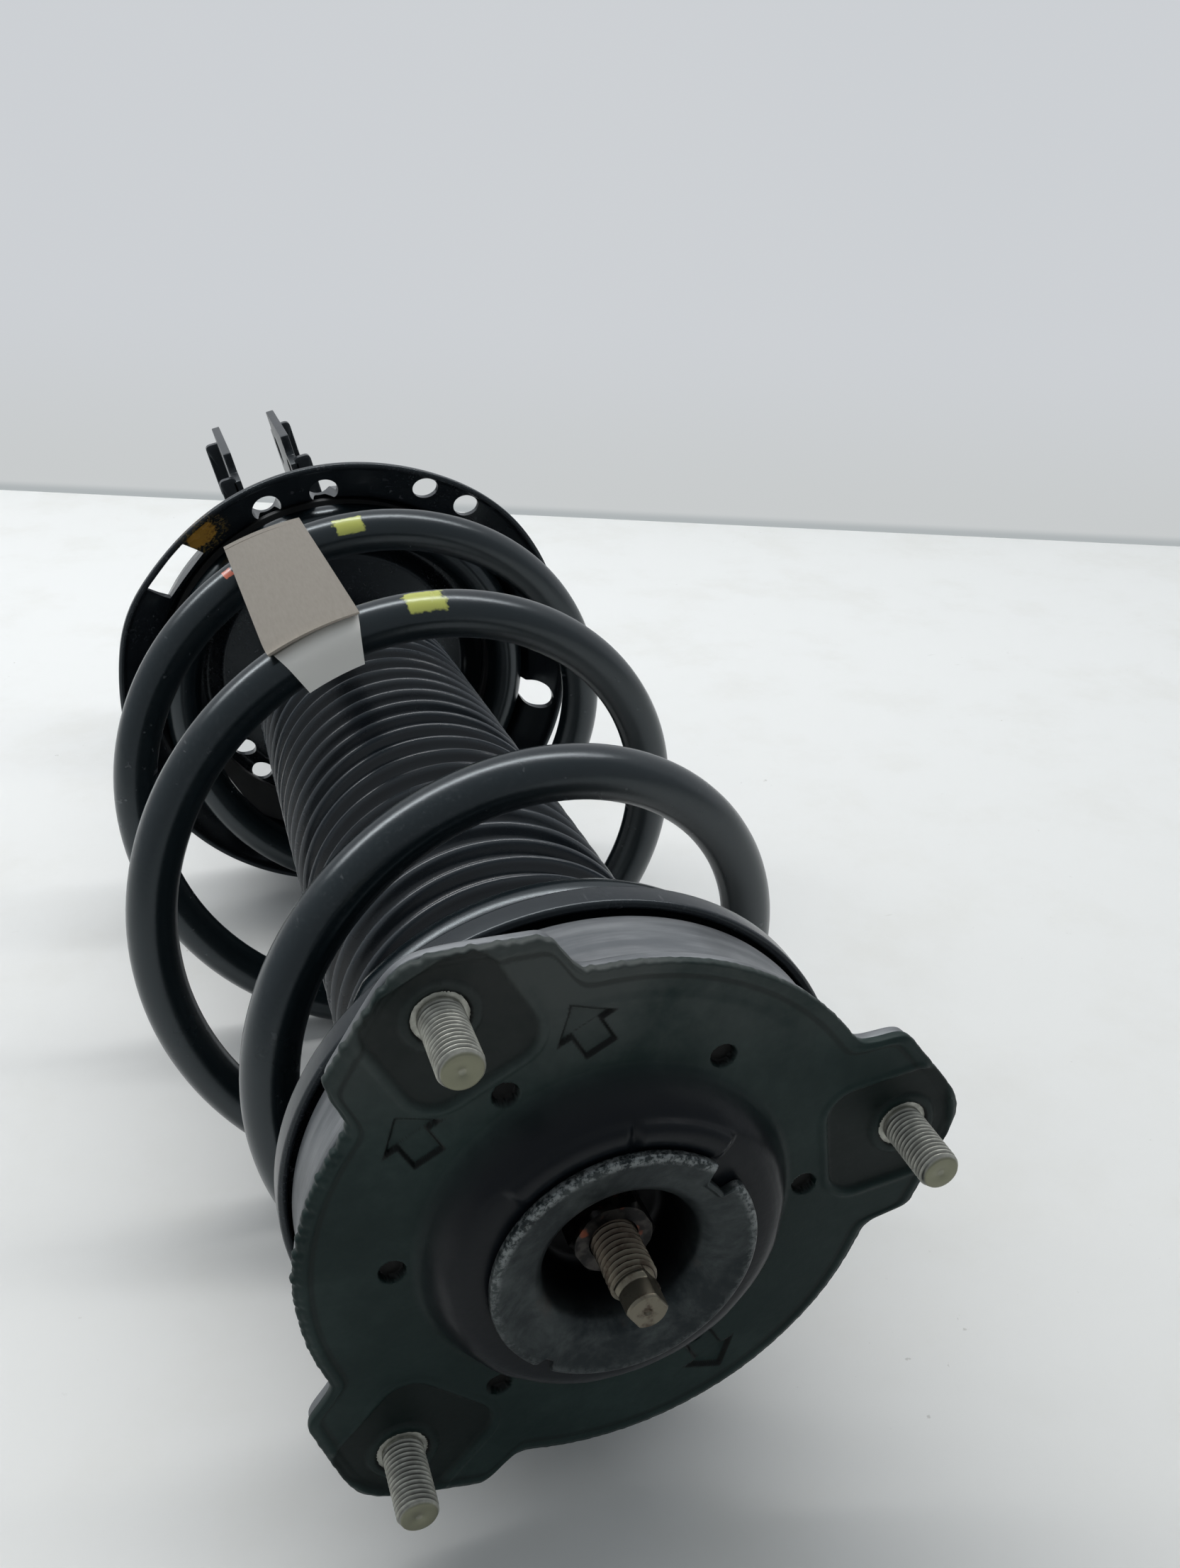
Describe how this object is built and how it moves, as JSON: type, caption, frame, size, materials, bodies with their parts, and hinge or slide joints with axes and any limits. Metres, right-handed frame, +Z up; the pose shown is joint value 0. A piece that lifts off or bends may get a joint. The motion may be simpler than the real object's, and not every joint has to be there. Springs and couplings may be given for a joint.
{
  "type": "suspension strut assembly",
  "caption": "Suspension strut assembly on its side: lobed top mount with studs, coil spring over a ribbed boot, dished lower seat, damper tube and knuckle bracket.",
  "frame": {"origin": "centre of the bounding box's bottom face: on the floor that the strut lies on", "axes": "+Y along the strut's axis, from the top mount to the knuckle bracket; +Z up"},
  "size_m": [0.1902, 0.5432, 0.1866],
  "materials": {
    "black_paint": "semi-gloss black coating",
    "black_rubber": "dull moulded rubber",
    "boot_rubber": "satin black ribbed moulding",
    "grey_shell": "dull grey coated pressing",
    "zinc": "dull zinc plating",
    "dark_steel": "dark phosphated steel",
    "bright_steel": "plain steel",
    "chrome": "hard chromed rod",
    "foam": "cellular foam",
    "bronze": "sintered bronze",
    "nylon": "matte black plastic",
    "label_silver": "bare silver tag, unprinted"
  },
  "bodies": {
    "strut_body": {"strut_tube": "black_paint", "tube_cap": "bright_steel", "rod_seal": "black_rubber", "rod_guide": "bronze", "inner_tube": "bright_steel", "base_valve": "bronze", "lower_spring_seat": "black_paint", "lower_spring_pad": "black_rubber", "knuckle_bracket": "black_paint", "coil_spring": "black_paint", "dust_boot": "boot_rubber", "spring_label": "label_silver"},
    "upper_seat_body": {"upper_spring_seat": "black_paint", "upper_spring_pad": "black_rubber", "bearing_lower_race": "bright_steel", "bearing_ball_cage": "nylon"},
    "top_mount_body": {"mount_shell": "grey_shell", "mount_rubber": "black_rubber", "mount_core": "dark_steel", "stud_left": "zinc", "stud_right": "zinc", "stud_low": "zinc", "cup_washer": "dark_steel", "rod_nut": "bright_steel", "piston_rod": "chrome", "piston": "dark_steel", "piston_band": "bronze", "piston_nut": "bright_steel", "rebound_stop": "nylon", "bump_stop": "foam", "bump_stop_cup": "dark_steel", "bearing_upper_race": "bright_steel"}
  },
  "joints": [
    {"name": "damper_stroke", "type": "slide", "parent": "strut_body", "child": "upper_seat_body", "axis": [0, 1, 0], "range_m": [0, 0.115], "stiffness_N_per_m": 25000, "deforming": ["coil_spring", "dust_boot", "spring_label"]},
    {"name": "steering_swivel", "type": "hinge", "parent": "upper_seat_body", "child": "top_mount_body", "pos_m": [0.00196, -0.2454, 0.08945], "axis": [0, 1, 0], "continuous": true}
  ]
}
